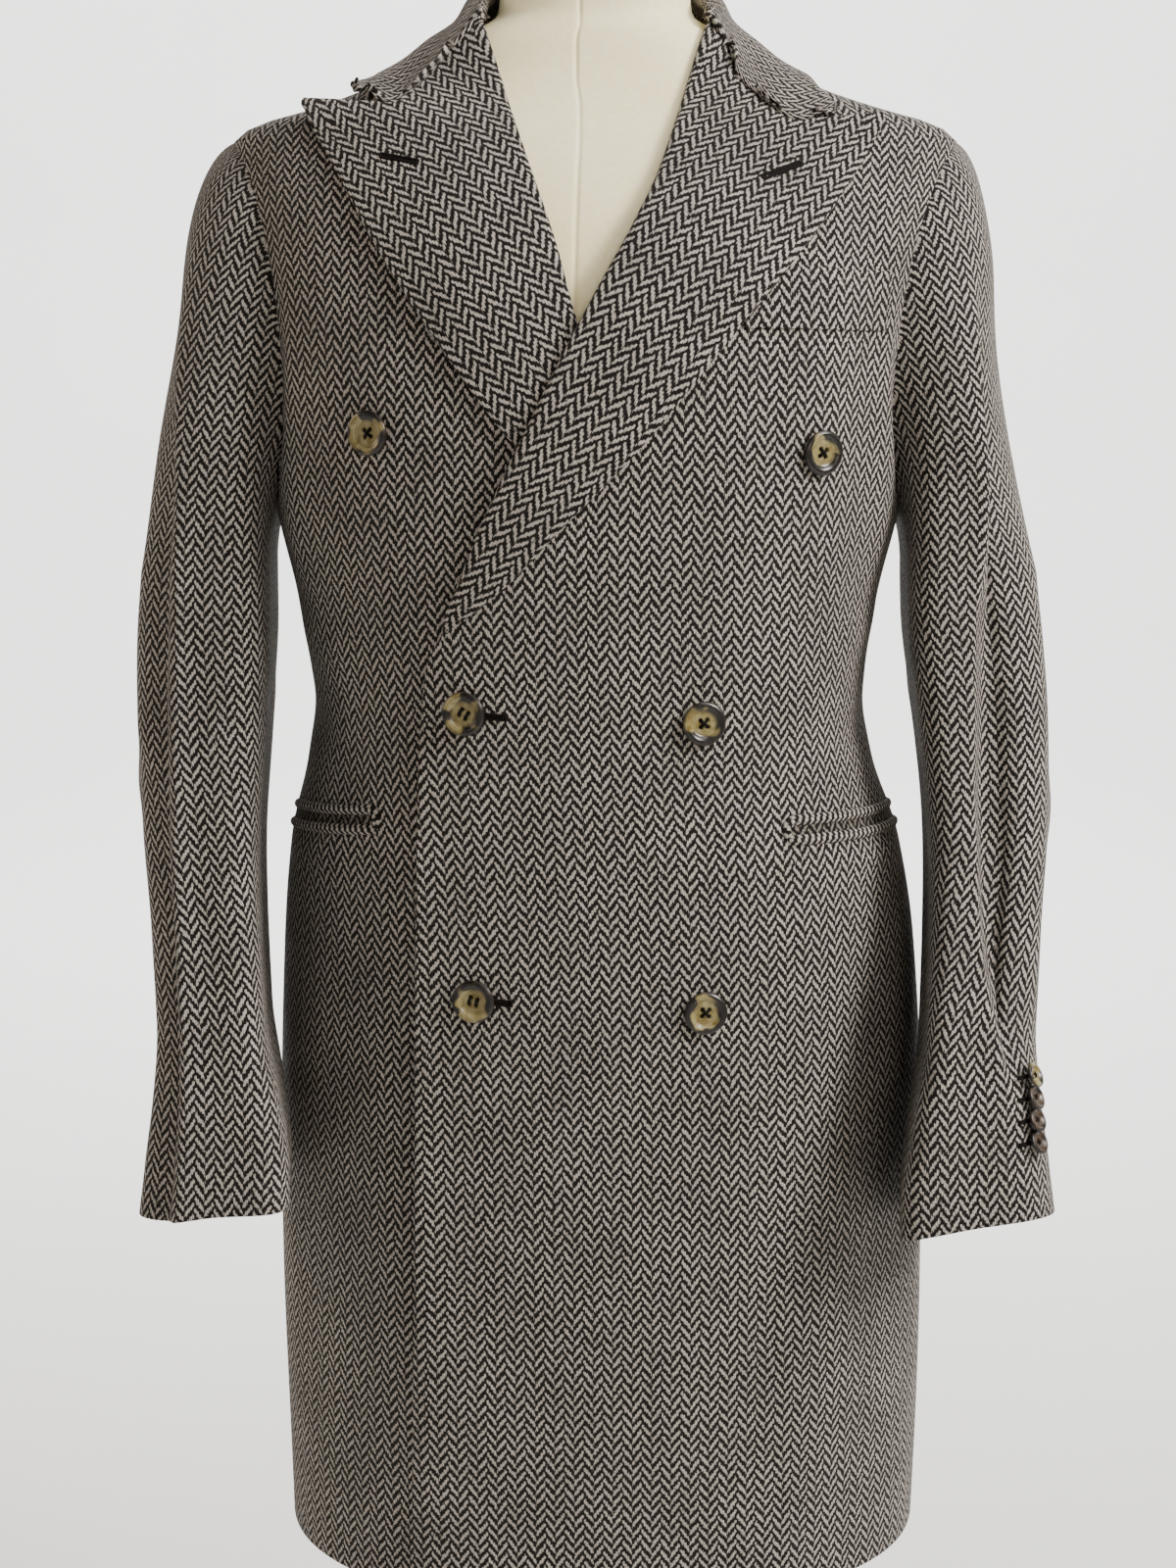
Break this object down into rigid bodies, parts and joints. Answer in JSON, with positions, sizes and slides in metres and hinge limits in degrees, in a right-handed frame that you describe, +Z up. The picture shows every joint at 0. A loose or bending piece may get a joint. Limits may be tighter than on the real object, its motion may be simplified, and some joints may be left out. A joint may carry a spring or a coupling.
{
  "type": "double-breasted overcoat on a dress form",
  "caption": "Double-breasted herringbone overcoat with peak lapels, jetted hip pockets and a breast welt, buttoned on a limbless dress form with a round stand.",
  "frame": {"origin": "on the floor, in the middle of the stand's base", "axes": "+Z up, +X towards the wearer's left side, -Y towards the front"},
  "size_m": [0.5375, 0.34, 1.452],
  "materials": {
    "coating": "woolly herringbone",
    "pocket_dark": "matte",
    "horn": "polished horn",
    "canvas": "plain canvas",
    "steel": "satin"
  },
  "bodies": {
    "root": {"front_left": "coating", "front_right": "coating", "back_left": "coating", "back_right": "coating", "lapel_left": "coating", "lapel_right": "coating", "collar": "coating", "sleeve_left_top": "coating", "sleeve_left_under": "coating", "sleeve_right_top": "coating", "sleeve_right_under": "coating", "welt_breast": "coating", "jet_left_upper": "coating", "jet_left_lower": "coating", "jet_right_upper": "coating", "jet_right_lower": "coating", "mouth_left": "pocket_dark", "mouth_right": "pocket_dark", "button_front_1": "horn", "button_front_2": "horn", "button_front_3": "horn", "button_front_4": "horn", "button_front_5": "horn", "button_front_6": "horn", "button_left_1": "horn", "button_left_2": "horn", "button_left_3": "horn", "button_left_4": "horn", "button_right_1": "horn", "button_right_2": "horn", "button_right_3": "horn", "button_right_4": "horn", "form_body": "canvas", "form_cap": "canvas", "stand_pole": "steel", "stand_base": "steel"}
  },
  "joints": []
}
